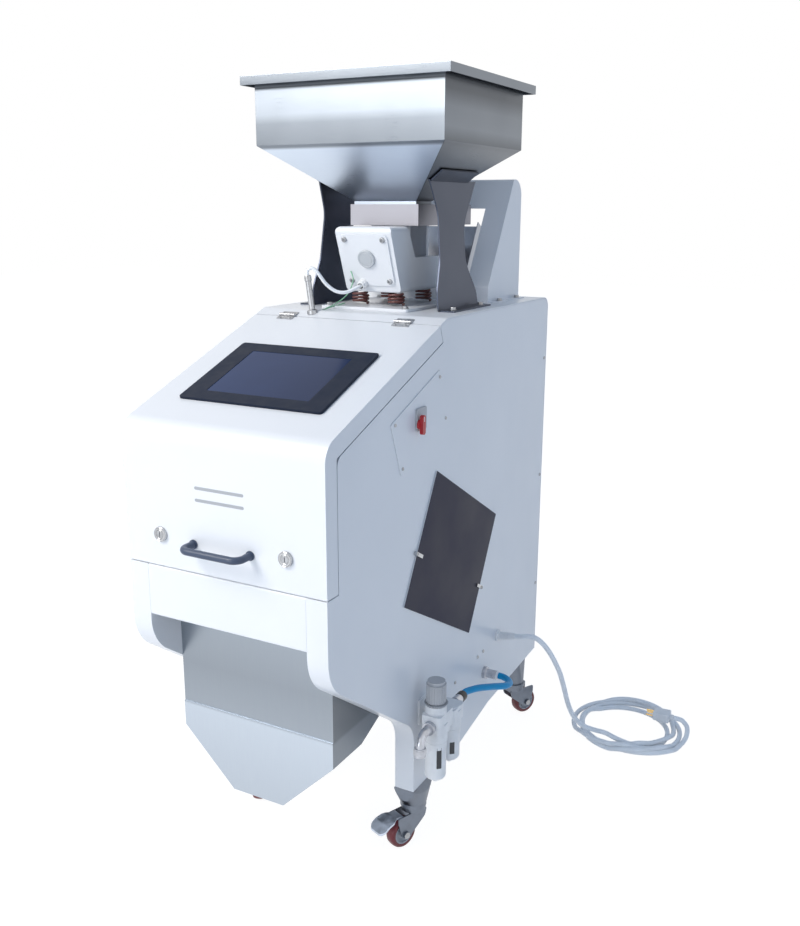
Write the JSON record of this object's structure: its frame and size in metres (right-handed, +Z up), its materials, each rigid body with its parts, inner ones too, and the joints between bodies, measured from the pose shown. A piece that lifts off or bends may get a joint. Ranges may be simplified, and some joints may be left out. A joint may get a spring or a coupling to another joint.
{
  "type": "optical colour sorter",
  "caption": "Wheeled colour sorting machine for grain: feed hopper, vibrating trough, inclined slide, flip-up door with a screen, outlet chute and air unit.",
  "frame": {"origin": "on the floor under the middle of the cabinet, where the stand mount is", "axes": "+X to the right as seen from the front, +Y to the rear, +Z up"},
  "size_m": [0.83, 1.1895, 1.51],
  "materials": {
    "white_coat": "powder coated, satin",
    "stainless": "brushed",
    "zinc_steel": "bright zinc",
    "dark_aluminium": "black anodised",
    "lamp_tube": "clear tube",
    "grey_coat": "powder coated",
    "black_plastic": "fine grain",
    "screen_pane": "polished",
    "slate_plastic": "smooth",
    "bright_chrome": "polished",
    "red_spring": "painted",
    "white_cord": "smooth",
    "grey_plastic": "smooth",
    "red_plastic": "smooth",
    "slate_coat": "satin",
    "white_plastic": "smooth",
    "nickel_brass": "nickel plated",
    "blue_hose": "smooth",
    "red_wheel": "smooth",
    "dark_steel": "blackened"
  },
  "bodies": {
    "cabinet": {"base_frame": "white_coat", "side_panel_right": "white_coat", "side_panel_left": "white_coat", "rear_panel": "white_coat", "top_deck": "white_coat", "lower_front_panel": "white_coat", "cross_bars": "zinc_steel", "slide_chute": "stainless", "camera_boxes": "dark_aluminium", "lamp_bars": "lamp_tube", "ejector_bar": "dark_aluminium", "control_box": "grey_coat", "outlet_chute": "stainless", "splitter_plate": "stainless", "hopper": "stainless", "hopper_brackets": "stainless", "chute_hood": "white_coat", "feeder_plate": "white_coat", "deck_hinges": "zinc_steel", "feeder_springs": "red_spring", "feeder_cable": "white_cord", "cable_mast": "grey_plastic", "switch_plate": "white_coat", "switch_base": "grey_plastic", "window_cover": "slate_coat", "filter_unit": "white_plastic", "filter_bowls": "white_plastic", "air_inlet_elbow": "nickel_brass", "hose_fittings": "nickel_brass", "air_hose": "blue_hose", "cord_gland": "white_cord", "power_cord": "white_cord", "cord_coil": "white_cord", "cord_plug": "white_cord", "caster_mounts": "zinc_steel"},
    "door": {"door_skin": "white_coat", "door_hinges": "zinc_steel", "screen_bezel": "black_plastic", "screen_glass": "screen_pane", "door_handle": "slate_plastic", "lock_barrels": "bright_chrome"},
    "lock_left": {"lock_cam_left": "zinc_steel"},
    "lock_right": {"lock_cam_right": "zinc_steel"},
    "feeder": {"feeder_housing": "white_coat", "feeder_cover": "white_coat", "feeder_trough": "stainless"},
    "switch": {"switch_knob": "red_plastic"},
    "regulator": {"regulator_knob": "grey_plastic"},
    "clip_front": {"window_clip_front": "zinc_steel"},
    "clip_rear": {"window_clip_rear": "zinc_steel"},
    "caster_front_left": {"fork_front_left": "zinc_steel"},
    "roller_front_left": {"wheel_front_left": "red_wheel"},
    "caster_front_right": {"fork_front_right": "zinc_steel"},
    "roller_front_right": {"wheel_front_right": "red_wheel"},
    "caster_rear_left": {"fork_rear_left": "zinc_steel"},
    "roller_rear_left": {"wheel_rear_left": "red_wheel"},
    "caster_rear_right": {"fork_rear_right": "zinc_steel"},
    "roller_rear_right": {"wheel_rear_right": "red_wheel"},
    "pedal_left": {"brake_pedal_left": "dark_steel"},
    "pedal_right": {"brake_pedal_right": "dark_steel"}
  },
  "joints": [
    {"name": "door_hinge", "type": "hinge", "parent": "cabinet", "child": "door", "pos_m": [0, -0.086, 1.05776], "axis": [-1, 0, 0], "range_deg": [0, 80]},
    {"name": "lock_left_turn", "type": "hinge", "parent": "door", "child": "lock_left", "pos_m": [-0.132, -0.483, 0.712], "axis": [0, 1, 0], "range_deg": [0, 90]},
    {"name": "lock_right_turn", "type": "hinge", "parent": "door", "child": "lock_right", "pos_m": [0.132, -0.483, 0.712], "axis": [0, -1, 0], "range_deg": [0, 90]},
    {"name": "feeder_bounce", "type": "slide", "parent": "cabinet", "child": "feeder", "axis": [0, 0, 1], "range_m": [-0.002, 0.002], "stiffness_N_per_m": 120000, "springref_m": 0.00159, "deforming": ["feeder_springs"]},
    {"name": "switch_turn", "type": "hinge", "parent": "cabinet", "child": "switch", "pos_m": [0.216, -0.18, 0.887], "axis": [1, 0, 0], "range_deg": [0, 90]},
    {"name": "regulator_turn", "type": "hinge", "parent": "cabinet", "child": "regulator", "pos_m": [0.252, -0.168, 0.34], "axis": [0, 0, 1], "range_deg": [-360, 360]},
    {"name": "clip_front_turn", "type": "hinge", "parent": "cabinet", "child": "clip_front", "pos_m": [0.213, -0.18214, 0.64095], "axis": [1, 0, 0], "range_deg": [0, 90]},
    {"name": "clip_rear_turn", "type": "hinge", "parent": "cabinet", "child": "clip_rear", "pos_m": [0.213, 0.12161, 0.46909], "axis": [1, 0, 0], "range_deg": [0, 90]},
    {"name": "swivel_front_left", "type": "hinge", "parent": "cabinet", "child": "caster_front_left", "pos_m": [-0.189, -0.14, 0.083], "axis": [0, 0, 1], "continuous": true},
    {"name": "roll_front_left", "type": "hinge", "parent": "caster_front_left", "child": "roller_front_left", "pos_m": [-0.17664, -0.1706, 0.0315], "axis": [0.9272, 0.3746, 0], "continuous": true},
    {"name": "swivel_front_right", "type": "hinge", "parent": "cabinet", "child": "caster_front_right", "pos_m": [0.189, -0.14, 0.083], "axis": [0, 0, 1], "continuous": true},
    {"name": "roll_front_right", "type": "hinge", "parent": "caster_front_right", "child": "roller_front_right", "pos_m": [0.17664, -0.1706, 0.0315], "axis": [0.9272, -0.3746, 0], "continuous": true},
    {"name": "swivel_rear_left", "type": "hinge", "parent": "cabinet", "child": "caster_rear_left", "pos_m": [-0.172, 0.445, 0.083], "axis": [0, 0, 1], "continuous": true},
    {"name": "roll_rear_left", "type": "hinge", "parent": "caster_rear_left", "child": "roller_rear_left", "pos_m": [-0.18749, 0.47414, 0.0315], "axis": [-0.8829, -0.4695, 0], "continuous": true},
    {"name": "swivel_rear_right", "type": "hinge", "parent": "cabinet", "child": "caster_rear_right", "pos_m": [0.172, 0.445, 0.083], "axis": [0, 0, 1], "continuous": true},
    {"name": "roll_rear_right", "type": "hinge", "parent": "caster_rear_right", "child": "roller_rear_right", "pos_m": [0.18749, 0.47414, 0.0315], "axis": [-0.8829, 0.4695, 0], "continuous": true},
    {"name": "brake_left", "type": "hinge", "parent": "caster_front_left", "child": "pedal_left", "pos_m": [-0.17364, -0.17802, 0.07], "axis": [0.9272, 0.3746, 0], "range_deg": [0, 12]},
    {"name": "brake_right", "type": "hinge", "parent": "caster_front_right", "child": "pedal_right", "pos_m": [0.17364, -0.17802, 0.07], "axis": [0.9272, -0.3746, 0], "range_deg": [0, 12]}
  ]
}
